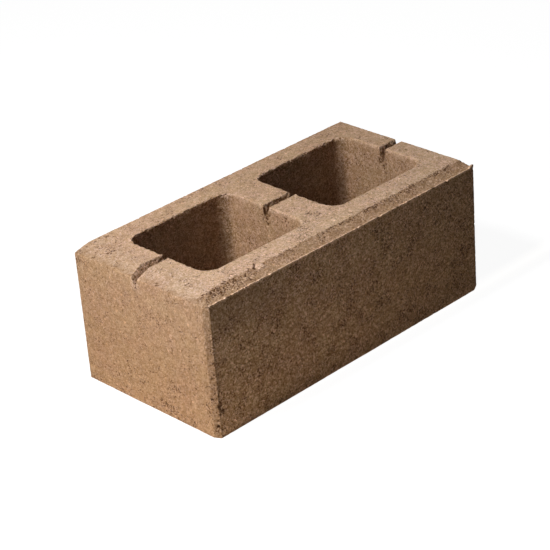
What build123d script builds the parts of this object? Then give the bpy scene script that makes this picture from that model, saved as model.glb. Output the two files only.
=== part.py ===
from build123d import *
import os
from math import radians, tan

# Two-cell concrete masonry block with a front face and one end face made to show.
# Lengths are in millimetres and angles in degrees. +X runs along the block towards its plain
# end, +Y towards its back and +Z up. The origin is at the middle of the base.

# Overall size
length = 397.0
width = 197.0
height = 153.0

# Walls round the cells, at the top. The front shell and the near end web carry the facing too.
facing = 19.5
face_shell = 27.5
end_web = 26.5
middle_web = 40.0

# Cells, left by tapered cores
core_draft = 1.2
core_corner_radius = 17.0
cell_mouth_round = 1.5

# Sloped margin pressed into the top of the facing, with the fin squeezed up along the front
margin_drop = 4.6
fin_width = 3.2
fin_crest_inset = 1.2
fin_rise = 1.6
end_arris_round = 2.0

# Eased vertical corner between the front face and the faced end
corner_on_end = 7.0
corner_on_front = 4.0

# Groove that the bar holding the cores leaves across all three webs
groove_width = 9.5
groove_shoulder_width = 6.6
groove_shoulder_depth = 7.5
groove_tip_width = 1.2
groove_depth = 17.0

# Mouth of the groove in the faced end, where it flares, rises and drifts to the front
mouth_width = 12.5
mouth_shoulder_width = 5.0
mouth_shoulder_depth = 8.5
mouth_depth = 11.5
mouth_drift = 4.0

# Room that cutting shapes have past the surface they cut
overcut = 5.0

# Places worked out from the sizes above
end_face_x = -length / 2
plain_end_x = length / 2
front_y = -width / 2
back_y = width / 2
cell_length = (length - facing - 2 * end_web - middle_web) / 2
cell_width = width - facing - 2 * face_shell
cell_centre_y = back_y - face_shell - cell_width / 2
far_cell_x = plain_end_x - end_web - cell_length / 2
near_cell_x = far_cell_x - middle_web - cell_length
margin_inner_x = end_face_x + facing
margin_slope = margin_drop / facing
fin_foot_drop = margin_slope * (facing - fin_width)
fin_crest_drop = margin_slope * (facing - fin_crest_inset) - fin_rise


def groove_section(centre, top_width, shoulder_width, shoulder_depth, tip_depth):
    """Points of the groove's section round its centre line, from lip to lip, above the top too."""
    above = height + overcut
    shoulder = height - shoulder_depth
    tip = height - tip_depth
    return [
        (centre - top_width / 2, above),
        (centre - top_width / 2, height),
        (centre - shoulder_width / 2, shoulder),
        (centre - groove_tip_width / 2, tip),
        (centre + groove_tip_width / 2, tip),
        (centre + shoulder_width / 2, shoulder),
        (centre + top_width / 2, height),
        (centre + top_width / 2, above),
    ]


with BuildPart() as block:
    # Outer body, with the vertical corner between the two faced sides eased
    with BuildSketch():
        Rectangle(length, width)
    extrude(amount=height)
    with BuildSketch():
        with BuildLine():
            Polyline(
                (end_face_x, front_y + corner_on_end),
                (end_face_x + corner_on_front, front_y),
                (end_face_x, front_y),
                close=True,
            )
        make_face()
    extrude(amount=height, mode=Mode.SUBTRACT)

    # Two cells, widest at the top, with a rounded mouth
    with BuildSketch(Plane.XY.offset(height)):
        with Locations((near_cell_x, cell_centre_y), (far_cell_x, cell_centre_y)):
            RectangleRounded(cell_length, cell_width, core_corner_radius)
    extrude(amount=-height, taper=core_draft, mode=Mode.SUBTRACT)
    top_face = block.faces().sort_by(Axis.Z)[-1]
    fillet(top_face.inner_wires().edges(), cell_mouth_round)

    # Sloped margin along the front, with its fin
    with BuildSketch(Plane.YZ):
        with BuildLine():
            Polyline(
                (front_y + facing, height),
                (front_y + fin_width, height - fin_foot_drop),
                (front_y + fin_crest_inset, height - fin_crest_drop),
                (front_y, height - margin_drop),
                (front_y - overcut, height - margin_drop),
                (front_y - overcut, height + overcut),
                (front_y + facing, height + overcut),
                close=True,
            )
        make_face()
    extrude(amount=length / 2 + overcut, both=True, mode=Mode.SUBTRACT)

    # Sloped margin along the faced end
    with BuildSketch(Plane.XZ):
        with BuildLine():
            Polyline(
                (margin_inner_x, height),
                (end_face_x, height - margin_drop),
                (end_face_x - overcut, height - margin_drop),
                (end_face_x - overcut, height + overcut),
                (margin_inner_x, height + overcut),
                close=True,
            )
        make_face()
    extrude(amount=width / 2 + overcut, both=True, mode=Mode.SUBTRACT)
    end_arris = block.edges().filter_by(Axis.Y).group_by(Axis.X)[0].sort_by(Axis.Z)[-1]
    fillet(end_arris, end_arris_round)

    # Groove across the webs, from the margin to the plain end
    with BuildSketch(Plane.YZ.offset(margin_inner_x)) as bar_groove:
        with BuildLine():
            Polyline(
                *groove_section(
                    cell_centre_y,
                    groove_width,
                    groove_shoulder_width,
                    groove_shoulder_depth,
                    groove_depth,
                ),
                close=True,
            )
        make_face()
    extrude(amount=length - facing + overcut, mode=Mode.SUBTRACT)

    # Mouth of the groove through the faced end
    with BuildSketch(Plane.YZ.offset(end_face_x)) as groove_mouth:
        with BuildLine():
            Polyline(
                *groove_section(
                    cell_centre_y - mouth_drift,
                    mouth_width,
                    mouth_shoulder_width,
                    mouth_shoulder_depth,
                    mouth_depth,
                ),
                close=True,
            )
        make_face()
    loft([bar_groove.sketch, groove_mouth.sketch], ruled=True, mode=Mode.SUBTRACT)

block.part.label = "block"

os.makedirs("parts", exist_ok=True)
export_step(block.part, "parts/block.step")

narrowing = height * tan(radians(core_draft))
print("cell at the top", cell_length, cell_width, "less at the base on each side", round(narrowing, 2))
print("solid volume in litres", round(block.part.volume / 1e6, 3))
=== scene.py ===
import random
from math import cos, hypot, radians, sin
import bmesh
import bpy
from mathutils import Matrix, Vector, bvhtree, geometry, kdtree, noise


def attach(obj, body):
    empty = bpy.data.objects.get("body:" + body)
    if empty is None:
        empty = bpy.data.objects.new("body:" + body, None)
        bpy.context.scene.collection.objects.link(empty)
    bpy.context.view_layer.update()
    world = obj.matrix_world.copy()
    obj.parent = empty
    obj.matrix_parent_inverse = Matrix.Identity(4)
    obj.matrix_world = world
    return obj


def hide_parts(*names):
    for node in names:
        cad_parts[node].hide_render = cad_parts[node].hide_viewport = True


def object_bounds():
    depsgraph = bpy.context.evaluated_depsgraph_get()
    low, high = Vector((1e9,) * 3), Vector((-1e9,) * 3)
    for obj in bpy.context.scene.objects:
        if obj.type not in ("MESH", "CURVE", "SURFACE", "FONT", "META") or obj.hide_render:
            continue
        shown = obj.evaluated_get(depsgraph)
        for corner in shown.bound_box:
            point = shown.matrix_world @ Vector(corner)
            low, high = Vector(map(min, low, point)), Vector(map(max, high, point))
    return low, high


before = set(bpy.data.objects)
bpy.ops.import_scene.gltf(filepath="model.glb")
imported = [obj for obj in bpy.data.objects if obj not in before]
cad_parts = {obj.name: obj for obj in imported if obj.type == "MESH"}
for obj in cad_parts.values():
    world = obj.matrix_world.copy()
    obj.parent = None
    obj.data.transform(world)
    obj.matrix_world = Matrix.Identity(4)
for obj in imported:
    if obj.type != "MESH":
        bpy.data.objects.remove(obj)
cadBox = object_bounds()

mm = 0.001


# Small helpers

def linearColour(hexText):
    # sRGB hex to the linear values that Blender works in
    channels = [int(hexText[i:i + 2], 16) / 255 for i in (1, 3, 5)]
    return [c / 12.92 if c <= 0.04045 else ((c + 0.055) / 1.055) ** 2.4 for c in channels] + [1.0]


def addNode(tree, kind, settings=None, values=None, links=None):
    # a link starts at a socket, or at a node's first output
    node = tree.nodes.new(kind)
    for name, value in (settings or {}).items():
        setattr(node, name, value)
    for socket, value in (values or {}).items():
        node.inputs[socket].default_value = value
    for socket, source in (links or {}).items():
        start = source.outputs[0] if isinstance(source, bpy.types.Node) else source
        tree.links.new(start, node.inputs[socket])
    return node


def spread(low, high, newLow=0.0, newHigh=1.0):
    # the four limits, by the numbers of their sockets on a Map Range
    return {1: low, 2: high, 3: newLow, 4: newHigh}


def newMaterial(name):
    material = bpy.data.materials.new(name)
    material.use_nodes = True
    material.node_tree.nodes.clear()
    return material, material.node_tree


def smoothStep(low, high, value):
    # eases from 0 at low to 1 at high, which may be the smaller of the two
    share = min(1.0, max(0.0, (value - low) / (high - low)))
    return share * share * (3 - 2 * share)


def mixedNoise(spot, length, fineShare, fineLength):
    # with finer bumps on it
    return noise.noise(spot / length) + fineShare * noise.noise(spot / fineLength)


def levelNoise(place):
    # between 0 and 1
    return 0.5 + 0.5 * noise.noise(place)


def lineNoise(x, length, row, column):
    # changes along the block only; row and column pick one of the noise's many lines
    return noise.noise((x / length, row, column))


# Camera, where the photographer stood: places in millimetres

cameraSettings = {
    "place": (-1280.98, -1364.55, 1053.84),
    "aim": (-8.896, 5.098, 72.086),
    "roll": -4.592,
    "focalLength": 129.55,
    "sensorWidth": 36.0,
    "nearClip": 50.0, "farClip": 50000.0,
}

cameraData = bpy.data.cameras.new("photoCamera")
cameraData.lens = cameraSettings["focalLength"]
cameraData.sensor_width = cameraSettings["sensorWidth"]
cameraData.clip_start = cameraSettings["nearClip"] * mm
cameraData.clip_end = cameraSettings["farClip"] * mm
camera = bpy.data.objects.new("photoCamera", cameraData)
bpy.context.scene.collection.objects.link(camera)
cameraPlace = Vector(cameraSettings["place"]) * mm
cameraTurn = (Vector(cameraSettings["aim"]) * mm - cameraPlace).to_track_quat("-Z", "Y").to_matrix()
camera.location = cameraPlace
camera.rotation_euler = cameraTurn.to_euler()
camera.rotation_euler.rotate_axis("Z", radians(cameraSettings["roll"]))
bpy.context.scene.camera = camera
print("camera placed")

# Studio: pale floor with painted light on it, one soft lamp high beyond the faced end, and a weaker one
# below it. In metres

studioSettings = {
    "aim": (0.0, 0.0, 0.1),
    "skyColour": "#FFFFFF", "worldFill": 0.02,
    "floorSize": 12.0, "floorSeen": "#FFFFFF", "floorBounce": "#F4EADC",
    "floorWhite": 0.8, "floorGlow": 1.18,  # how far the camera sees the floor as plain white
    "pool": (-0.16, -0.12, 0.0), "poolReach": (0.15, 0.55), "poolLight": (1.0, 0.2),  # a painted pool of light in the light the floor bounces
    "footGlow": 0.35, "footReach": 0.016,  # a glow: painted light along the front's foot, where the block shades the floor
}

# direction is degrees round from the block's faced end towards its back, then degrees up
lampSettings = {
    "keyLamp": {"round": 5.0, "up": 55.0, "distance": 1.4, "size": 0.25, "power": 15.5},
    "lowLamp": {"round": 6.0, "up": 35.0, "distance": 1.1, "size": 0.35, "power": 3.1},
}

for name, lamp in lampSettings.items():
    lampData = bpy.data.lights.new(name, "AREA")
    lampData.shape = "DISK"
    lampData.size = lamp["size"]
    lampData.energy = lamp["power"]
    lampObject = bpy.data.objects.new(name, lampData)
    bpy.context.scene.collection.objects.link(lampObject)
    turn, rise = radians(lamp["round"]), radians(lamp["up"])
    away = Vector((-cos(turn) * cos(rise), sin(turn) * cos(rise), sin(rise)))
    lampObject.location = Vector(studioSettings["aim"]) + away * lamp["distance"]
    lampObject.rotation_euler = away.to_track_quat("Z", "Y").to_euler()

floorMesh = bpy.data.meshes.new("studioFloor")
floorShape = bmesh.new()
bmesh.ops.create_grid(floorShape, x_segments=1, y_segments=1, size=studioSettings["floorSize"] / 2)
floorShape.to_mesh(floorMesh)
floorShape.free()
studioFloor = bpy.data.objects.new("studioFloor", floorMesh)
bpy.context.scene.collection.objects.link(studioFloor)


def makePaper():
    # Matt paper that the camera sees as one even white with a soft shadow; the light it bounces holds a
    # painted pool of light, and along the front's foot it glows as painted light
    s = studioSettings
    material, tree = newMaterial("paperWithPaintedLight")
    seenByCamera = addNode(tree, "ShaderNodeLightPath").outputs["Is Camera Ray"]
    place = addNode(tree, "ShaderNodeTexCoord").outputs["Object"]
    away = addNode(tree, "ShaderNodeVectorMath", {"operation": "DISTANCE"}, {1: s["pool"]}, {0: place})
    paintedPool = addNode(tree, "ShaderNodeMapRange", None, spread(*s["poolReach"], *s["poolLight"]),
                     {0: away.outputs["Value"]})
    bounce = addNode(tree, "ShaderNodeVectorMath", {"operation": "SCALE"},
                     {0: linearColour(s["floorBounce"])[:3]}, {"Scale": paintedPool})
    colour = addNode(tree, "ShaderNodeMix", {"data_type": "RGBA"},
                     {7: linearColour(s["floorSeen"])}, {0: seenByCamera, 6: bounce})
    paper = addNode(tree, "ShaderNodeBsdfDiffuse", links={"Color": colour.outputs[2]})

    # painted light: the floor glows along the front's foot, where the block shades it
    across = addNode(tree, "ShaderNodeSeparateXYZ", links={0: place}).outputs["Y"]
    ahead = addNode(tree, "ShaderNodeMath", {"operation": "SUBTRACT"}, {1: cadBox[0].y}, {0: across})
    beside = addNode(tree, "ShaderNodeMath", {"operation": "ABSOLUTE"}, links={0: ahead})
    footLight = addNode(tree, "ShaderNodeMapRange", None, spread(0.0, s["footReach"], s["footGlow"], 0.0),
                        {0: beside})
    paintedFootGlow = addNode(tree, "ShaderNodeEmission", None, {"Color": linearColour(s["floorBounce"])},
                     {"Strength": footLight})
    lit = addNode(tree, "ShaderNodeAddShader", links={0: paper, 1: paintedFootGlow})

    seenLight = addNode(tree, "ShaderNodeEmission", None, {
        "Color": linearColour(s["floorSeen"]), "Strength": s["floorGlow"]})
    seenShare = addNode(tree, "ShaderNodeMath", {"operation": "MULTIPLY"},
                        {1: s["floorWhite"]}, {0: seenByCamera})
    surface = addNode(tree, "ShaderNodeMixShader", links={0: seenShare, 1: lit, 2: seenLight})
    addNode(tree, "ShaderNodeOutputMaterial", links={"Surface": surface})
    return material


floorMesh.materials.append(makePaper())

world = bpy.data.worlds.new("studioWorld")
bpy.context.scene.world = world
world.use_nodes = True
tree = world.node_tree
tree.nodes.clear()
skyColour, worldFill = linearColour(studioSettings["skyColour"]), studioSettings["worldFill"]
fill = addNode(tree, "ShaderNodeBackground", None, {"Color": skyColour, "Strength": worldFill})
backdrop = addNode(tree, "ShaderNodeBackground", None, {"Color": skyColour, "Strength": 1.0})
rays = addNode(tree, "ShaderNodeLightPath")
seen = rays.outputs["Is Camera Ray"]
for kind in ("Is Glossy Ray", "Is Transmission Ray"):
    seen = addNode(tree, "ShaderNodeMath", {"operation": "MAXIMUM"}, links={0: seen, 1: rays.outputs[kind]})
sky = addNode(tree, "ShaderNodeMixShader", links={0: seen, 1: fill, 2: backdrop})
addNode(tree, "ShaderNodeOutputWorld", links={"Surface": sky})

bpy.context.scene.view_settings.view_transform = "Standard"
print("studio lit")

# The block: the CAD body again with a mesh that is fine where the relief is, then worn and pitted

low, high = cadBox
topZ, frontY, backY, endX, plainX = high.z / mm, low.y / mm, high.y / mm, low.x / mm, high.x / mm

# sizes of the moulded body that the relief follows, in millimetres
bodySizes = {
    "facing": 19.5, "shell": 27.5, "web": 26.5, "middleWeb": 40.0,
    "cellCorner": 17.0, "marginDrop": 4.6, "marginReach": 8.0, "mouthDrift": 4.0,
}
cellLength = (plainX - endX - bodySizes["facing"] - 2 * bodySizes["web"] - bodySizes["middleWeb"]) / 2
cellWidth = backY - frontY - bodySizes["facing"] - 2 * bodySizes["shell"]
cellMidY = backY - bodySizes["shell"] - cellWidth / 2
farCellX = plainX - bodySizes["web"] - cellLength / 2
nearCellX = farCellX - bodySizes["middleWeb"] - cellLength
facingX, facingY = endX + bodySizes["facing"], frontY + bodySizes["facing"]

# the mesh is sliced on one lattice, the squares of a fine zone are split again, and what is still
# too long near an arris or a pit is halved
meshSettings = {
    "slice": 4.0, "quickSlice": 8.0, "snap": 1.3, "splitLeast": 0.45,
    "topBand": 6.0, "topCuts": 1,
    "rimBand": 4.0, "rimHalf": 2.6, "rimCuts": 1, "rimWeld": 3.0,
    "marginBand": 8.0, "marginPast": 4.0, "marginCuts": 2,
    "grooveBand": 19.0, "grooveHalf": 11.0, "grooveCuts": 2,
    "cornerBand": 9.0, "cornerCuts": 1,
    "arrisAngle": 12.0, "arrisStep": 1.5, "arrisFine": 2.2, "arrisReach": 2.5, "spotFine": 1.1,
    "wide": 7.0, "growth": 0.6, "slack": 1.25, "turns": 3,
    "fineFoot": 0.5, "fineDepth": 60.0, "fineFromCell": 5.0,  # the cells' walls are coarser further down
    "same": 0.01, "weld": 0.55, "tiny": 0.2, "zero": 0.02,
    "mouldedAngle": 0.2, "flatAngle": 0.1, "sharpAngle": 32.0,
}
sliceSize = meshSettings["slice"]
marginEndY = facingY + meshSettings["marginPast"]

# a noise is how far apart its bumps are, then the share and the distance of finer ones, and a line of
# noise is that distance and two numbers that pick the line
reliefSettings = {
    "waveLength": 48.0, "waveDepth": 0.35,
    "arrisReach": 2.6, "arrisWear": 0.3, "arrisEven": 0.35, "arrisBand": (-0.1, 0.6), "arrisLength": 2.6,
    "endReach": 4.5, "endWear": 0.6, "endEven": 0.8, "endLength": 3.0,
    "topSkin": 0.5, "topRough": 0.22, "topEven": 0.6, "topNoise": (4.0, 0.5, 2.1),
    "toothReach": 3.2, "toothSize": 1.6, "toothPull": 0.1, "toothNoise": (3.0, 0.7, 3.0 / 2.1),
    "toothEven": 0.5, "toothBack": 1.2, "toothLeft": 0.7,  # the back and left rims tore most
    "mouthRound": 1.5, "mouthTurn": 0.7,
    "grooveSkin": 0.5, "grooveDeep": 19.0, "grooveHalf": 6.5, "grooveInCell": 2.0,
    "grooveRough": 1.3, "grooveNoise": (3.6, 0.5, 1.8),
    "mouthHalf": 5.5, "mouthFade": 4.0, "mouthSlump": 2.2, "mouthDeep": 11.0, "mouthRough": 0.5,
    "marginFromEnd": 3.0, "marginRough": 0.4, "marginEven": 0.4, "marginNoise": (2.8, 0.6, 1.4),
    "marginDrift": 2.0, "driftLine": (14.0, 0.3, 0.7), "jagShare": 0.6, "jagLine": (4.0, 5.1, 0.2),
    "finWidth": 3.6, "finFoot": 0.4, "finThin": 0.9, "finCrest": 1.4, "finBack": 2.6,
    "finNick": 0.9, "nickBand": (0.1, 0.55), "nickLine": (2.2, 2.2, 0.4),
    "finGrain": 0.35, "finGrainLength": 1.9, "finGrainWidth": 4.0, "finGrainLayer": 7.3,
    "finTip": 2.6, "finTipReach": 9.0, "finTipEnd": 1.5,  # the fin stands higher at the plain end
    "footReach": 8.0, "footWear": 2.2,
}


def cellRim(x, y):
    # distance from the nearest cell's rim, positive in the concrete, and the way into the cell
    best = None
    for midX in (nearCellX, farCellX):
        overX = abs(x - midX) - cellLength / 2 + bodySizes["cellCorner"]
        overY = abs(y - cellMidY) - cellWidth / 2 + bodySizes["cellCorner"]
        away = hypot(max(overX, 0), max(overY, 0)) + min(max(overX, overY), 0) - bodySizes["cellCorner"]
        if best is None or away < best[0]:
            if max(overX, overY) > 0:
                wayX, wayY = max(overX, 0), max(overY, 0)
            else:
                wayX, wayY = (1.0, 0.0) if overX > overY else (0.0, 1.0)
            size = hypot(wayX, wayY)
            towardX, towardY = -1 if x > midX else 1, -1 if y > cellMidY else 1
            best = (away, wayX / size * towardX, wayY / size * towardY)
    return best


def marginStart(x):
    # the line where the front margin begins, which the filling left uneven
    s = reliefSettings
    drift = lineNoise(x, *s["driftLine"]) + s["jagShare"] * lineNoise(x, *s["jagLine"])
    return facingY + s["marginDrift"] * drift


def grooveMiddle(x):
    # the groove's centre line, which drifts to the front through the facing of the end
    return cellMidY - bodySizes["mouthDrift"] * smoothStep(facingX, endX, x)


def mouthShare(x):
    # 0 in the webs' groove and 1 in the flared mouth of the faced end
    return smoothStep(nearCellX - cellLength / 2 + reliefSettings["mouthFade"], facingX, x)


def treeOf(places):
    tree = kdtree.KDTree(len(places))
    for i, place in enumerate(places):
        tree.insert(place, i)
    tree.balance()
    return tree


def arrisPoints(body):
    # points close together along the arrises of the moulded shape
    points = []
    for edge in body.edges:
        if edge.is_manifold and edge.calc_face_angle() > radians(meshSettings["arrisAngle"]):
            a, b = edge.verts[0].co / mm, edge.verts[1].co / mm
            count = max(1, int((b - a).length / meshSettings["arrisStep"]))
            points += [a.lerp(b, i / count) for i in range(count + 1)]
    return points


# marks that the eye picks out: millimetres from the faced end, from the back and below the top,
# then radius and depth, which is negative where a crumb stands up
knownMarks = {
    "marginCrumb": (89.5, 180.0, 0.8, 5.2, -2.6),
    "marginGrain": (43.0, 190.5, 3.2, 1.3, -0.9),
    "endPit": (0.0, 95.0, 36.5, 2.0, 1.3),
    "endPitAbove": (0.0, 92.5, 34.0, 1.3, 0.8),
    "lowEndPit": (0.0, 81.0, 138.5, 1.7, 1.0),
    "lowEndPitAhead": (0.0, 114.0, 137.5, 1.7, 1.0),
    "bottomEdgePit": (0.0, 52.0, 150.0, 1.8, 1.0),
    "cornerPit": (5.0, 197.0, 117.0, 3.4, 2.0),
    "cornerPitBelow": (10.0, 197.0, 123.0, 2.6, 1.5),
    "cornerLowPit": (2.5, 195.5, 140.0, 3.0, 1.7),
    "cornerMidPit": (0.5, 193.0, 97.0, 2.4, 1.3),
    "cornerPitAhead": (0.5, 192.0, 109.0, 2.6, 1.4),
    "farCellCrumb": (243.0, 134.0, 0.0, 2.4, -0.9),
}

# lines of small pits: start and end as above, how many, radius, depth and how far they stray
knownRuns = {
    "crackDown": ((0.0, 1.0, 110.5), (0.0, 13.0, 117.5), 16, 0.95, 0.7, 0.35),
    "crackUp": ((0.0, 13.0, 117.5), (0.0, 26.0, 111.0), 14, 0.95, 0.6, 0.4),
    "besideCrumb": ((90.0, 171.5, 0.0), (82.2, 180.5, 0.9), 12, 1.2, 1.9, 0.5),
    "cornerRun": ((3.5, 195.0, 60.0), (2.0, 195.0, 152.0), 15, 1.6, 0.9, 2.6),
    "marginStart": ((10.0, 183.0, 1.0), (78.0, 183.0, 1.2), 40, 1.35, 1.1, 5.5),
    "marginEdge": ((98.0, 179.5, 0.4), (385.0, 179.5, 0.4), 45, 1.5, 1.2, 2.6),
    "backTopArris": ((20.0, 0.5, 0.5), (390.0, 0.5, 0.5), 22, 1.3, 0.7, 1.0),
    "middleGrooveTail": ((188.3, 88.0, 14.0), (188.3, 91.0, 24.0), 9, 1.5, 1.3, 1.0),
    "farGrooveTail": ((370.5, 87.0, 12.0), (370.5, 92.0, 31.0), 13, 1.5, 1.2, 1.8),
}

# patches of the top where it stayed open: two ends, half the width and how open
knownPatches = {
    "byGroove": ((10.0, 106.0), (12.0, 131.0), 6.0, 1.0),
    "byCorner": ((11.0, 146.0), (21.0, 154.0), 5.0, 0.8),
    "behindGroove": ((13.0, 17.0), (19.0, 38.0), 9.0, 0.6),
    "frontShell": ((57.0, 155.0), (80.0, 156.0), 4.0, 0.5),
    "behindCrumb": ((103.0, 166.0), (91.0, 170.0), 3.0, 1.0),
    "betweenCells": ((163.0, 168.0), (205.0, 140.0), 13.0, 0.55),
}

# pits and crumbs strewn over a face: how many, then between which radii and which depths
strewnSpots = {
    "marginPits": (250, (0.8, 1.3), (0.4, 1.1)),
    "marginCrumbs": (80, (0.8, 1.5), (-0.7, -0.3)),
    "topPits": (110, (0.8, 1.4), (0.4, 0.8)),
    "endTopPits": (120, (0.8, 1.35), (0.4, 0.9)),
    "frontPits": (170, (0.9, 1.9), (0.5, 1.3)),
    "backPits": (90, (0.9, 1.8), (0.4, 1.1)),
    "facedEndPits": (60, (0.9, 1.6), (0.4, 0.9)),
    "plainEndPits": (60, (0.9, 1.8), (0.4, 1.1)),
}

spotSettings = {
    "seed": 7, "strewnRadius": (0.7, 1.0),
    "runRadius": (0.6, 1.2), "runDepth": (0.5, 1.3), "secondStray": 0.6,  # every second one strays less
    "fromFin": 2.5, "pastMargin": 1.0, "marginMost": 0.6, "marginFromEnd": 6.0,
    "topFromEdge": 3.0, "endTopWidth": 27.0, "frontFromEnd": 4.0, "endFromCorner": 7.0, "belowTop": 8.0,
    "rough": 0.5, "roughLength": 0.9, "proudLeast": -0.2, "bigCrumb": -0.8,
}


def fromCorner(along, forward, below):
    return Vector((endX + along, backY - forward, topZ - below))


def fromLine(x, y, start, end):
    # distance from a stretch between two points, given like the patches above
    a, b = fromCorner(*start, 0.0).to_2d(), fromCorner(*end, 0.0).to_2d()
    share = geometry.intersect_point_line(Vector((x, y)), a, b)[1]
    return (Vector((x, y)) - a.lerp(b, min(1.0, max(0.0, share)))).length


def pressedSpots(surface):
    # all pits and crumbs: place, radius and depth, in millimetres
    s = spotSettings
    chance = random.Random(s["seed"])
    spots = [(fromCorner(*mark[:3]), mark[3], mark[4]) for mark in knownMarks.values()]

    for start, end, count, radius, depth, stray in knownRuns.values():
        for i in range(count):
            place = fromCorner(*start).lerp(fromCorner(*end), i / count)
            shift = Vector([chance.uniform(-stray, stray) for _ in range(3)])
            place += shift * (s["secondStray"] if i % 2 else 1.0)
            place = surface.find_nearest(place * mm)[0] / mm
            size = radius * chance.uniform(*s["runRadius"])
            spots.append((place, size, depth * chance.uniform(*s["runDepth"])))

    def onMargin():
        facing = bodySizes["facing"]
        forward = chance.triangular(s["fromFin"], facing + s["pastMargin"], facing * s["marginMost"])
        fall = bodySizes["marginDrop"] * max(0.0, 1 - forward / facing)
        return chance.uniform(endX + s["marginFromEnd"], plainX), frontY + forward, topZ - fall

    def onTop():
        while True:
            x, y = chance.uniform(endX, plainX), chance.uniform(facingY, backY)
            if cellRim(x, y)[0] > 0:
                return x, y, topZ

    def between(*limits):
        # draws a number between each pair of limits, and takes a single number as it is
        return [chance.uniform(*limit) if isinstance(limit, tuple) else limit for limit in limits]

    endTopX = (endX + s["topFromEdge"], endX + s["endTopWidth"])
    underTop = (0, topZ - s["belowTop"])
    strewnPlaces = {
        "marginPits": onMargin,
        "marginCrumbs": onMargin,
        "topPits": onTop,
        "endTopPits": lambda: between(endTopX, (marginEndY, backY - s["topFromEdge"]), topZ),
        "frontPits": lambda: between((endX + s["frontFromEnd"], plainX), frontY, underTop),
        "backPits": lambda: between((endX, plainX), backY, (0, topZ)),
        "facedEndPits": lambda: between(endX, (frontY + s["endFromCorner"], backY), underTop),
        "plainEndPits": lambda: between(plainX, (frontY, backY), (0, topZ)),
    }
    for name, (count, radius, depth) in strewnSpots.items():
        for _ in range(count):
            size = chance.uniform(*radius) * chance.uniform(*s["strewnRadius"])
            spots.append((Vector(strewnPlaces[name]()), size, chance.uniform(*depth)))
    return spots


def sliceBody(body):
    # planes of one lattice across the whole body, so the faces become small squares
    for axis, (start, end) in enumerate(((endX, plainX), (frontY, backY), (0.0, topZ))):
        normal = Vector((axis == 0, axis == 1, axis == 2))
        count = round((end - start) / sliceSize)
        for i in range(1, count):
            place = normal * (start + (end - start) * i / count) * mm
            bmesh.ops.bisect_plane(body, geom=body.verts[:] + body.edges[:] + body.faces[:],
                                   dist=meshSettings["snap"] * mm, plane_co=place, plane_no=normal)


def triangulateRest(body):
    bmesh.ops.triangulate(body, faces=[face for face in body.faces if len(face.verts) > 3])


def splitZone(body, inZone, cuts):
    # splits the squares of one zone again, leaving its short edges whole
    zone = [face for face in body.faces if inZone(*(face.calc_center_median() / mm))]
    least = meshSettings["splitLeast"] * sliceSize * mm
    edges = dict.fromkeys(edge for face in zone for edge in face.edges if edge.calc_length() > least)
    bmesh.ops.subdivide_edges(body, edges=list(edges), cuts=cuts, use_grid_fill=True)


def splitZones(body):
    m = meshSettings

    def onTop(x, y, z):
        return z > topZ - m["topBand"] and y > marginEndY

    def onRim(x, y, z):
        return z > topZ - m["rimBand"] and abs(cellRim(x, y)[0]) < m["rimHalf"]

    def onMargin(x, y, z):
        return z > topZ - m["marginBand"] and y < marginEndY

    def inGroove(x, y, z):
        return topZ - m["topBand"] > z > topZ - m["grooveBand"] and abs(y - cellMidY) < m["grooveHalf"]

    def atCorner(x, y, z):
        return x < endX + m["cornerBand"] and y < frontY + m["cornerBand"] and z < topZ - m["marginBand"]

    splitZone(body, onTop, m["topCuts"])
    splitZone(body, onRim, m["rimCuts"])
    splitZone(body, onMargin, m["marginCuts"])
    splitZone(body, inGroove, m["grooveCuts"])
    splitZone(body, atCorner, m["cornerCuts"])
    bmesh.ops.triangulate(body, faces=body.faces)
    places = [(point, point.co / mm) for point in body.verts]
    rim = [point for point, spot in places
           if topZ - m["rimWeld"] < spot.z and abs(cellRim(spot.x, spot.y)[0]) < m["rimWeld"]]
    bmesh.ops.remove_doubles(body, verts=rim, dist=m["weld"] * mm)
    bmesh.ops.dissolve_degenerate(body, dist=m["tiny"] * mm, edges=body.edges)
    triangulateRest(body)


def refineBody(body, arrisTree, spotTree):
    # halves what is too long near an arris, a pit or a crumb
    m = meshSettings
    wanted = body.verts.layers.float.new("wanted")
    freshPoints = body.verts[:]
    for _ in range(m["turns"]):
        for point in freshPoints:
            x, y, z = spot = point.co / mm
            length = m["wide"]
            if m["fineFoot"] < z and (topZ - z < m["fineDepth"] or cellRim(x, y)[0] > m["fineFromCell"]):
                arrisAway = max(0.0, arrisTree.find(spot)[2] - m["arrisReach"])
                spotAway = max(0.0, spotTree.find(spot)[2] - m["spotFine"])
                length = min(length, m["arrisFine"] + m["growth"] * arrisAway,
                             m["spotFine"] + m["growth"] * spotAway)
            point[wanted] = length * mm * sliceSize / m["slice"]
        longEdges = [edge for edge in body.edges
                     if edge.calc_length() > sum(point[wanted] for point in edge.verts) / 2 * m["slack"]]
        if not longEdges:
            break
        halved = bmesh.ops.subdivide_edges(body, edges=longEdges, cuts=1)
        freshPoints = [item for item in halved["geom_inner"] if isinstance(item, bmesh.types.BMVert)]
        triangulateRest(body)
        flatEdges = [edge for edge in body.edges
                     if edge.is_manifold and edge.calc_face_angle() < radians(m["flatAngle"])]
        bmesh.ops.beautify_fill(body, faces=body.faces, edges=flatEdges, method="ANGLE")
    body.verts.layers.float.remove(wanted)


def cleanBody(body):
    # faces without area go, and so do the loose flaps that stood on an edge
    bmesh.ops.dissolve_degenerate(body, dist=meshSettings["zero"] * mm, edges=body.edges)
    triangulateRest(body)
    crowded = [edge for edge in body.edges if len(edge.link_faces) > 2]
    flaps = dict.fromkeys(face for edge in crowded for face in edge.link_faces
                          if any(side.is_boundary for side in face.edges))
    bmesh.ops.delete(body, geom=list(flaps), context="FACES")
    body.normal_update()


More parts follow.
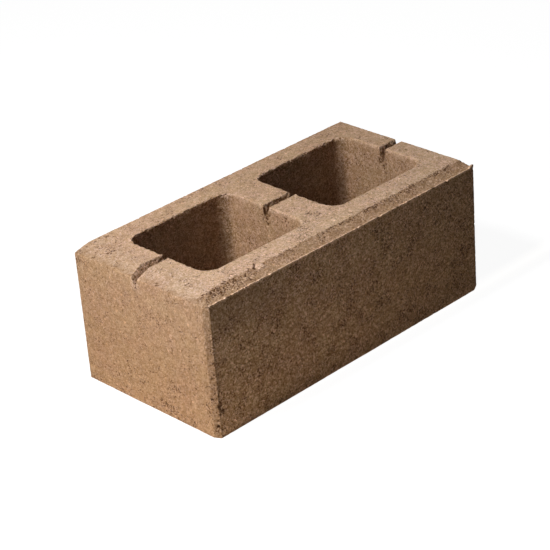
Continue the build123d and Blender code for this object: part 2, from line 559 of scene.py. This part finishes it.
def slump(x, y, depth, atMouth):
    # the groove's far side leans back where the bar left the faced end
    s = reliefSettings
    beyond = y - grooveMiddle(x)
    if beyond < 0 or depth > s["mouthDeep"]:
        return Vector()
    near = smoothStep(s["mouthHalf"] + s["mouthFade"], s["mouthHalf"], beyond)
    return Vector((0, s["mouthSlump"] * atMouth * near * (1 - depth / s["mouthDeep"]), 0))


def finShift(x, y):
    # thinned behind its crest, nicked along it and drawn up at the plain end
    s = reliefSettings
    forward = y - frontY
    nick = smoothStep(*s["nickBand"], lineNoise(x, *s["nickLine"]))
    grain = levelNoise((x / s["finGrainLength"], s["finGrainLayer"], y / s["finGrainWidth"]))
    tip = s["finTip"] * smoothStep(plainX - s["finTipReach"], plainX - s["finTipEnd"], x)
    thinned = s["finThin"] * min(forward, s["finCrest"]) * smoothStep(s["finBack"], s["finCrest"], forward)
    return Vector((0, -thinned, tip - s["finNick"] * nick - s["finGrain"] * grain))


def rimShift(spot, normal, depth, rimAway, inX, inY):
    # the rim of a cell's mouth: square at the back and left, where it broke off, and torn all round
    s = reliefSettings
    shift = Vector()
    if depth < s["mouthRound"] and abs(rimAway) < s["mouthRound"]:
        flat = max(normal.z, hypot(normal.x, normal.y), s["mouthTurn"])
        shift += normal * (s["mouthRound"] * (1 / flat - 1) * max(0.0, -inY, inX))
    if depth < s["toothReach"] and abs(rimAway) < s["toothReach"]:
        near = (1 - abs(rimAway) / s["toothReach"]) * (1 - depth / s["toothReach"])
        strength = s["toothEven"] + s["toothBack"] * max(0.0, -inY) + s["toothLeft"] * max(0.0, inX)
        tooth = mixedNoise(spot, *s["toothNoise"]) - s["toothPull"]
        shift += Vector((inX, inY, 0)) * (s["toothSize"] * strength * near * tooth)
    return shift


def reliefShift(spot, normal, arrisAway):
    # how far a point of the surface moves, in millimetres, apart from the pits and crumbs
    s = reliefSettings
    x, y, z = spot
    depth = topZ - z
    if y - frontY < s["finWidth"] and depth < bodySizes["marginDrop"] + s["finFoot"]:
        return finShift(x, y)
    foot = hypot(hypot(plainX - x, min(y - frontY, backY - y)), z)
    if foot < s["footReach"]:
        away = Vector((x, y, -topZ / 2)).normalized()
        return -away * (s["footWear"] * (1 - foot / s["footReach"]) ** 2)

    inward = s["waveDepth"] * levelNoise(spot / s["waveLength"])
    if arrisAway < s["arrisReach"]:
        near = (1 - arrisAway / s["arrisReach"]) ** 2
        worn = s["arrisEven"] + smoothStep(*s["arrisBand"], noise.noise(spot / s["arrisLength"]))
        inward += s["arrisWear"] * near * worn
    fromEnd = hypot(x - endX, depth)
    if fromEnd < s["endReach"]:
        near = (1 - fromEnd / s["endReach"]) ** 2
        inward += s["endWear"] * near * (s["endEven"] + noise.noise(spot / s["endLength"]))

    rimAway, inX, inY = cellRim(x, y)
    atMouth = mouthShare(x)
    inGroove = s["grooveSkin"] < depth < s["grooveDeep"] and rimAway > -s["grooveInCell"]
    if inGroove and abs(y - grooveMiddle(x)) < s["grooveHalf"] + atMouth:
        rough = s["grooveRough"] + (s["mouthRough"] - s["grooveRough"]) * atMouth
        return normal * (rough * mixedNoise(spot, *s["grooveNoise"])) + slump(x, y, depth, atMouth)

    if y < marginStart(x) and depth < bodySizes["marginReach"] and x > endX + s["marginFromEnd"]:
        inward += s["marginRough"] * (s["marginEven"] - mixedNoise(spot, *s["marginNoise"]))
    if depth < s["topSkin"]:
        inward += s["topRough"] * (s["topEven"] + mixedNoise(spot, *s["topNoise"]))
    shift = -normal * inward
    if rimAway > 0 and depth < s["mouthDeep"]:
        shift += slump(x, y, depth, atMouth)
    return shift + rimShift(spot, normal, depth, rimAway, inX, inY)


# where each finish lies, in millimetres. A pair runs from where it starts to where it is full, and a
# share is out of 1
finishSettings = {
    "marginSide": (-0.8, 0.8), "marginEnd": (1.0, 8.0), "marginFoot": (6.5, 5.0), "marginPastFin": 0.7,
    "cellDepth": (1.0, 5.0), "cellSide": (0.5, -0.5),
    "frontTurn": (0.3, 0.8),  # how far a face is turned to the front
    "coarseCell": 0.4, "coarseMargin": 0.6,
}

# white: what the shoe did to the top, and painted light that makes the sides paler towards the top
whiteSettings = {
    "foot": (5.2, 2.8), "fade": 2.0, "fadeLength": 6.0,
    "rubbedShare": 0.3, "rubbedReach": (9.0, 2.0), "rimReach": (-2.5, -0.5),
    "paintedSideLight": 0.22, "sideDepth": (110.0, 10.0), "endShare": 0.22, "endReach": (70.0, 10.0),
}

# painted shade: colour darkened where shade falls, on the cells' walls, most of all their back walls, the
# cut corner, the top by the faced end and the front's upper left; the margin is darkened with it too
shadeSettings = {
    "cellShare": 0.25, "farCellShare": 0.3,
    "wallTurn": (0.2, 0.8), "deepShare": 0.4, "deepDepth": (15.0, 70.0),
    "cornerWidth": 6.5, "cornerShare": 0.55, "marginShare": 0.42,
    "topShare": 0.6, "topReach": (50.0, 3.0), "topDepth": 5.0,
    "frontShare": 0.6, "frontDepth": (60.0, 20.0), "frontReach": (170.0, 60.0),
}

# pores: dense on the first part of the margin, then only along its upper edge
poreSettings = {
    "startReach": (95.0, 75.0), "edgeWidth": 6.0, "startWidth": 12.0, "fullWidth": 0.6,
    "edgeSide": (-3.0, 0.0), "edgeEnd": (3.0, 9.0),
    "gatherEven": 0.7, "gatherShare": 0.9, "gatherLine": (11.0, 8.1, 0.4),
    "patchDepth": 1.0,
    "frontEven": 0.4, "frontShare": 0.5, "frontLength": 20.0, "frontLayer": 0.5,
    "faceSkin": 0.5, "footShare": 0.3, "footHeight": (50.0, 15.0), "footEven": 0.8, "footLength": 12.0,
    "cornerReach": (16.0, 6.0), "cornerHeight": 60.0,
}

# hollow: painted shade down the groove and painted light in its mouth, painted shade in the nicks of the
# fin, and the fin between them painted paler, partly painted highlight
hollowSettings = {
    "grooveDepth": (2.0, 20.0), "grooveHalf": 6.0, "grooveInCell": 0.5,
    "webEven": 0.2, "webDown": 0.4, "webDepth": (2.0, 9.0), "webSpots": 0.9, "webLength": 2.0,
    "mouthEven": -0.35, "mouthDown": 0.75, "mouthDepth": (5.0, 9.0),
    "finWidth": 3.0, "finPaintedHighlight": -0.22,
    "finNick": 1.6, "nickBand": (0.15, 0.45), "nickLine": (2.2, 0.6, 3.1),
}


def whiteShare(spot, rimAway, onMargin):
    s = whiteSettings
    depth, along = topZ - spot.z, spot.x - endX
    fade = s["fade"] * noise.noise(spot / s["fadeLength"])
    rubbed = s["rubbedShare"] * smoothStep(*s["rubbedReach"], along)
    pressed = smoothStep(*s["foot"], depth - fade) * (1 - rubbed)
    # the sides are paler towards the top: painted light
    white = max((1 - onMargin) * pressed, s["paintedSideLight"] * smoothStep(*s["sideDepth"], depth))
    white *= smoothStep(*s["rimReach"], rimAway)
    return white * (1 + s["endShare"] * smoothStep(*s["endReach"], along))


def shadeShare(spot, forward, inCell, onMargin, onFront):
    s = shadeSettings
    x, y, z = spot
    depth, along = topZ - z, x - endX
    backWall = smoothStep(*s["wallTurn"], forward)
    backWall *= 1 + s["deepShare"] * smoothStep(*s["deepDepth"], depth)
    shade = inCell * max(s["cellShare"] + s["farCellShare"] * smoothStep(0, farCellX, x), backWall)
    if max(along, y - frontY) < s["cornerWidth"] and depth > bodySizes["marginReach"]:
        shade = s["cornerShare"]
    byEnd = smoothStep(*s["topReach"], along) * (depth < s["topDepth"])
    upperLeft = onFront * smoothStep(*s["frontDepth"], depth) * smoothStep(*s["frontReach"], along)
    return max(shade, s["marginShare"] * onMargin, s["topShare"] * byEnd, s["frontShare"] * upperLeft)


def poreShare(spot, rimAway, inCell, onFront):
    s = poreSettings
    x, y, z = spot
    depth, along, past = topZ - z, x - endX, marginStart(x) - y
    atStart = smoothStep(*s["startReach"], along)
    width = s["edgeWidth"] + s["startWidth"] * atStart
    edge = smoothStep(*s["edgeSide"], past) * smoothStep(width, s["fullWidth"] * width, past)
    edge *= smoothStep(*s["edgeEnd"], along)
    gathered = s["gatherEven"] + s["gatherShare"] * lineNoise(x, *s["gatherLine"])
    pores = edge * (atStart + (1 - atStart) * gathered) * (depth < bodySizes["marginReach"])
    if depth < s["patchDepth"] and rimAway > 0:
        for start, end, half, strength in knownPatches.values():
            pores = max(pores, strength * smoothStep(half, half / 2, fromLine(x, y, start, end)))
    if onFront > 0 and not inCell:
        place = (x / s["frontLength"], s["frontLayer"], z / s["frontLength"])
        pores = max(pores, onFront * (s["frontEven"] + s["frontShare"] * noise.noise(place)))
    if along < s["faceSkin"] or y < frontY + s["faceSkin"]:
        # the faced end and the cut corner are open too near the foot
        byCorner = smoothStep(*s["cornerReach"], hypot(along, y - frontY)) * (z < s["cornerHeight"])
        atFoot = max(s["footShare"] * smoothStep(*s["footHeight"], z), byCorner)
        pores = max(pores, atFoot * (s["footEven"] + noise.noise(Vector((y, x, z)) / s["footLength"])))
    return pores


def groovePaintedLightAndShade(spot, atMouth):
    # painted shade deeper down the groove, in dotted spots, and painted light, below 0, in the faced end's
    # mouth
    s = hollowSettings
    depth = topZ - spot.z
    inWebs = s["webEven"] + s["webDown"] * smoothStep(*s["webDepth"], depth)
    inWebs += s["webSpots"] * noise.noise(spot / s["webLength"])
    inMouth = s["mouthEven"] + s["mouthDown"] * smoothStep(*s["mouthDepth"], depth)
    return inWebs + (inMouth - inWebs) * atMouth


def markFinish(body, hollowShadeAndHighlight, struck, paintedShade, coarse, pitted):
    # writes what the material reads: hollow (painted shade in hollows, painted highlight where proud),
    # whitened (with painted light down the sides and at the groove's mouth), painted shade, coarse and full
    # of pores
    s, h = finishSettings, hollowSettings
    for point in body.verts:
        x, y, z = spot = point.co / mm
        depth, rimAway = topZ - z, cellRim(x, y)[0]
        onMargin = smoothStep(*s["marginSide"], marginStart(x) - y) * smoothStep(*s["marginEnd"], x - endX)
        onMargin *= smoothStep(*s["marginFoot"], depth) * (y > frontY + s["marginPastFin"])
        inCell = smoothStep(*s["cellDepth"], depth) * smoothStep(*s["cellSide"], rimAway)
        onFront = smoothStep(*s["frontTurn"], -point.normal.y)
        point[struck] = whiteShare(spot, rimAway, onMargin)
        point[paintedShade] = shadeShare(spot, -point.normal.y, inCell, onMargin, onFront)
        point[coarse] = min(1.0, s["coarseCell"] * inCell + onFront + s["coarseMargin"] * onMargin)
        point[pitted] = poreShare(spot, rimAway, inCell, onFront)

        # the groove: painted shade through the hollow value, and painted light at the mouth, which is
        # whitened too
        besideGroove = abs(y - grooveMiddle(x)) < h["grooveHalf"] and rimAway > -h["grooveInCell"]
        if besideGroove and h["grooveDepth"][0] < depth < h["grooveDepth"][1]:
            point[hollowShadeAndHighlight] = groovePaintedLightAndShade(spot, mouthShare(x))
            point[struck] = max(point[struck], mouthShare(x))
        # the fin: painted shade in its nicks, and between them a paler crest, partly its own pale colour
        # and partly painted highlight, kept free of the painted shade
        if y < frontY + h["finWidth"] and depth < bodySizes["marginDrop"]:
            nick = smoothStep(*h["nickBand"], lineNoise(x, *h["nickLine"]))
            point[hollowShadeAndHighlight] = h["finPaintedHighlight"] + h["finNick"] * nick
            point[struck], point[paintedShade], point[coarse], point[pitted] = 1.0, 0.0, 0.0, 0.0


def pressSpots(body, spots, hollowShadeAndHighlight, struck, pitted):
    # pits and crumbs, each a rounded dent or bump along the surface's own normal
    s = spotSettings
    spotTree = treeOf([spot[0] for spot in spots])
    widest = max(spot[1] for spot in spots)
    for point in body.verts:
        place = point.co / mm
        for _, i, away in spotTree.find_range(place, widest):
            radius, depth = spots[i][1:]
            if away < radius:
                rough = 1 + s["rough"] * noise.noise(place / s["roughLength"])
                pressed = depth * rough * (1 - (away / radius) ** 2)
                point.co -= point.normal * (pressed * mm)
                # the depth goes into the hollow value, so pits get painted shade, partly their own darker
                # colour, and crumbs a little painted highlight
                point[hollowShadeAndHighlight] += max(pressed, s["proudLeast"])
                if depth < s["bigCrumb"]:
                    point[struck], point[pitted] = 1.0, 0.0  # a big crumb is as pale as the top


layerNames = ("hollowShadeAndHighlight", "struck", "paintedShade", "coarse", "pitted")


def makeBlock():
    body = bmesh.new()
    body.from_mesh(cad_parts["block"].data)
    bmesh.ops.remove_doubles(body, verts=body.verts, dist=meshSettings["same"] * mm)
    arrisTree = treeOf(arrisPoints(body))
    spots = pressedSpots(bvhtree.BVHTree.FromBMesh(body))
    bmesh.ops.dissolve_limit(body, angle_limit=radians(meshSettings["mouldedAngle"]),
                             verts=body.verts, edges=body.edges)
    sliceBody(body)
    splitZones(body)
    print("block sliced to", len(body.faces), "triangles")
    refineBody(body, arrisTree, treeOf([spot[0] for spot in spots]))
    cleanBody(body)
    print("block refined to", len(body.faces), "triangles")

    layers = {name: body.verts.layers.float.new(name) for name in layerNames}
    markFinish(body, **layers)
    for point in body.verts:
        spot = point.co / mm
        point.co += reliefShift(spot, point.normal, arrisTree.find(spot)[2]) * mm
    body.normal_update()
    pressSpots(body, spots, layers["hollowShadeAndHighlight"], layers["struck"], layers["pitted"])
    for point in body.verts:
        point.co = [min(max(point.co[i], low[i]), high[i]) for i in range(3)]
    body.normal_update()
    for edge in body.edges:
        edge.smooth = edge.calc_face_angle(0) < radians(meshSettings["sharpAngle"])
    print("relief pressed in")

    mesh = bpy.data.meshes.new("concreteBlock")
    body.to_mesh(mesh)
    body.free()
    for face in mesh.polygons:
        face.use_smooth = True
    block = bpy.data.objects.new("concreteBlock", mesh)
    bpy.context.scene.collection.objects.link(block)
    return block


concreteBlock = makeBlock()
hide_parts("block")
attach(concreteBlock, "root")


# Dry-cast concrete: damp sand and cement rammed in a steel mould. It is dull and open-grained, tinted
# tan in the mix, golden where the mould's side rubbed it and paler where the shoe pressed the top

# It also carries painted shade in its cells, hollows and shaded spots, and painted light on proud bits, the
# groove's mouth and the sides' upper parts
concreteSettings = {
    "moulded": "#BF997B", "struck": "#E6C4AE", "cellShade": 0.35, "shadeMost": 2.0,
    "frontShare": 0.83, "webShare": 0.57, "backShare": 0.43,  # how far the shoe whitened the top
    "pinkTint": "#FFFBFB", "oliveTint": "#FEFEF8", "tintBand": (0.36, 0.64),
    "blotchBand": (0.3, 0.7), "blotchDepth": 0.10,
    "sandBand": (0.25, 0.75), "sandDepth": 0.5, "coarseness": 0.95,
    "grain": 2.3, "grainDark": 0.84, "grainPale": 1.18,
    "darkTint": "#FFF4D2", "paleTint": "#EEF6FF", "tintTone": (0.6, 1.4),  # dark grains are the warmer ones
    "proudHighlight": 1.7, "chalkShare": 0.014, "chalkEdge": 1.2, "chalkLift": 1.25,
    "pore": "#553214", "poreShare": 0.9, "poreSoftness": 0.05, "smallStart": 0.645, "largeStart": 0.675,
    "clusterBand": (0.3, 0.7), "clusterPull": 0.06, "pittedPull": 0.085, "cavityPull": 0.07,
    "hollowBand": (0.3, 1.4), "hollowShare": 0.75,
    "poreBump": 0.5, "bumpDepth": 1.5, "bumpStrength": 0.9,
    "roughness": 0.93, "ior": 1.5, "specular": 0.2,
}

# millimetres from one bump of a noise to the next, then its detail and its roughness
concreteNoises = {
    "tintPatch": (30.0, 4.0, 0.6), "blotch": (9.0, 3.0, 0.55), "sand": (1.5, 3.0, 0.75),
    "cluster": (15.0, 2.0, 0.5), "smallPore": (1.9, 2.0, 0.6), "largePore": (3.4, 4.0, 0.66),
    "speckle": (2.4, 5.0, 0.7),
}


def makeConcrete():
    s = concreteSettings
    material, tree = newMaterial("dryCastConcrete")
    place = addNode(tree, "ShaderNodeTexCoord").outputs["Object"]
    noises = {name: addNode(tree, "ShaderNodeTexNoise", None, {
        "Scale": 1 / (size * mm), "Detail": detail, "Roughness": rough}, {"Vector": place})
        for name, (size, detail, rough) in concreteNoises.items()}
    marks = {name: addNode(tree, "ShaderNodeAttribute", {"attribute_name": name}).outputs["Fac"]
             for name in layerNames}
    blend, multiply = {"data_type": "RGBA"}, {"data_type": "RGBA", "blend_type": "MULTIPLY"}
    times, plus, most = {"operation": "MULTIPLY"}, {"operation": "ADD"}, {"operation": "MAXIMUM"}
    timesPlus = {"operation": "MULTIPLY_ADD"}

    # finish: the struck top is paler, most of all at the front
    along = addNode(tree, "ShaderNodeSeparateXYZ", links={0: place}).outputs["Y"]
    frontWhite = addNode(tree, "ShaderNodeMapRange", None, spread(
        frontY * mm, cellMidY * mm, s["frontShare"], s["webShare"]), {0: along})
    backDrop = addNode(tree, "ShaderNodeMapRange", None, spread(
        cellMidY * mm, backY * mm, 0.0, s["webShare"] - s["backShare"]), {0: along})
    white = addNode(tree, "ShaderNodeMath", {"operation": "SUBTRACT"}, links={0: frontWhite, 1: backDrop})
    whitened = addNode(tree, "ShaderNodeMath", times, links={0: marks["struck"], 1: white})
    base = addNode(tree, "ShaderNodeMix", blend, {
        6: linearColour(s["moulded"]), 7: linearColour(s["struck"])}, {0: whitened})
    patches = addNode(tree, "ShaderNodeMapRange", None, spread(*s["tintBand"]), {0: noises["tintPatch"]})
    patchTint = addNode(tree, "ShaderNodeMix", blend, {
        6: linearColour(s["oliveTint"]), 7: linearColour(s["pinkTint"])}, {0: patches})
    tinted = addNode(tree, "ShaderNodeMix", multiply, {0: 1.0}, {
        6: base.outputs[2], 7: patchTint.outputs[2]})

    # tone: painted shade on the cells' walls and the other shaded spots, clouds a finger wide, then sand
    # and its single grains
    shade = addNode(tree, "ShaderNodeMapRange", None, spread(
        0.0, s["shadeMost"], 1.0, 1 - s["shadeMost"] * s["cellShade"]), {0: marks["paintedShade"]})
    blotches = addNode(tree, "ShaderNodeMapRange", None, spread(
        *s["blotchBand"], 1 - s["blotchDepth"], 1 + s["blotchDepth"]), {0: noises["blotch"]})
    sand = addNode(tree, "ShaderNodeMapRange", None, spread(
        *s["sandBand"], 1 - s["sandDepth"], 1 + s["sandDepth"]), {0: noises["sand"]})
    grains = addNode(tree, "ShaderNodeTexVoronoi", None, {"Scale": 1 / (s["grain"] * mm)}, {
        "Vector": place})
    draw = addNode(tree, "ShaderNodeSeparateColor", links={0: grains.outputs["Color"]})
    grainTone = addNode(tree, "ShaderNodeMapRange", None, spread(0.0, 1.0, s["grainDark"], s["grainPale"]),
                        {0: draw.outputs[0]})
    evenTone = addNode(tree, "ShaderNodeMath", times, links={0: sand, 1: grainTone})
    contrast = addNode(tree, "ShaderNodeMath", timesPlus, {1: s["coarseness"], 2: 1.0}, {
        0: marks["coarse"]})
    sandTone = addNode(tree, "ShaderNodeMath", {"operation": "POWER"}, links={0: evenTone, 1: contrast})
    # painted highlight: paler where the hollow value is below 0, on the fin's crest and crumbs, and painted
    # light in the groove's mouth
    proudHighlight = addNode(tree, "ShaderNodeMapRange", None, spread(-1.0, 0.0, s["proudHighlight"], 1.0),
                    {0: marks["hollowShadeAndHighlight"]})
    chalkFrom = 1 - s["chalkShare"] * s["chalkEdge"]
    chalk = addNode(tree, "ShaderNodeMapRange", None, spread(
        chalkFrom, 1 - s["chalkShare"], 1.0, s["chalkLift"]), {0: draw.outputs[1]})
    tone = shade
    for factor in (blotches, sandTone, proudHighlight, chalk):
        tone = addNode(tree, "ShaderNodeMath", times, links={0: tone, 1: factor})

    paleShare = addNode(tree, "ShaderNodeMapRange", None, spread(*s["tintTone"]), {0: sandTone})
    grainTint = addNode(tree, "ShaderNodeMix", blend, {
        6: linearColour(s["darkTint"]), 7: linearColour(s["paleTint"])}, {0: paleShare})
    grainy = addNode(tree, "ShaderNodeMix", multiply, {0: 1.0}, {
        6: tinted.outputs[2], 7: grainTint.outputs[2]})
    sanded = addNode(tree, "ShaderNodeVectorMath", {"operation": "SCALE"}, links={
        0: grainy.outputs[2], "Scale": tone})

    # open pores, gathered in clusters and closest where the concrete is pitted or hollow
    hollows = addNode(tree, "ShaderNodeMath", most, {1: 0.0}, {0: marks["hollowShadeAndHighlight"]})
    pull = addNode(tree, "ShaderNodeMapRange", None, spread(
        *s["clusterBand"], -s["clusterPull"], s["clusterPull"]), {0: noises["cluster"]})
    for mark, share in ((marks["pitted"], s["pittedPull"]), (hollows, s["cavityPull"])):
        pull = addNode(tree, "ShaderNodeMath", timesPlus, {1: share}, {0: mark, 2: pull})
    pores = []
    for name, start in (("smallPore", s["smallStart"]), ("largePore", s["largeStart"])):
        pulled = addNode(tree, "ShaderNodeMath", plus, links={0: noises[name], 1: pull})
        pores.append(addNode(tree, "ShaderNodeMapRange", None, spread(start, start + s["poreSoftness"]),
                             {0: pulled}))
    poreHere = addNode(tree, "ShaderNodeMath", most, links={0: pores[0], 1: pores[1]})
    poreDark = addNode(tree, "ShaderNodeMath", times, {1: s["poreShare"]}, {0: poreHere})
    # painted shade in the hollows: the deeper a pit, the groove or a nick of the fin, the darker
    hollowDark = addNode(tree, "ShaderNodeMapRange", None, spread(*s["hollowBand"], 0.0, s["hollowShare"]),
                         {0: marks["hollowShadeAndHighlight"]})
    dark = addNode(tree, "ShaderNodeMath", most, links={0: poreDark, 1: hollowDark})
    colour = addNode(tree, "ShaderNodeMix", blend, {7: linearColour(s["pore"])}, {0: dark, 6: sanded})

    # relief too fine for the mesh
    height = addNode(tree, "ShaderNodeMath", timesPlus, {1: -s["poreBump"]}, {
        0: poreHere, 2: noises["speckle"]})
    bump = addNode(tree, "ShaderNodeBump", None, {
        "Distance": s["bumpDepth"] * mm, "Strength": s["bumpStrength"]}, {"Height": height})
    surface = addNode(tree, "ShaderNodeBsdfPrincipled", None, {
        "Roughness": s["roughness"], "IOR": s["ior"], "Specular IOR Level": s["specular"]},
        {"Base Color": colour.outputs[2], "Normal": bump})
    addNode(tree, "ShaderNodeOutputMaterial", links={"Surface": surface})
    return material


concreteBlock.data.materials.clear()
concreteBlock.data.materials.append(makeConcrete())
print("concrete finished")
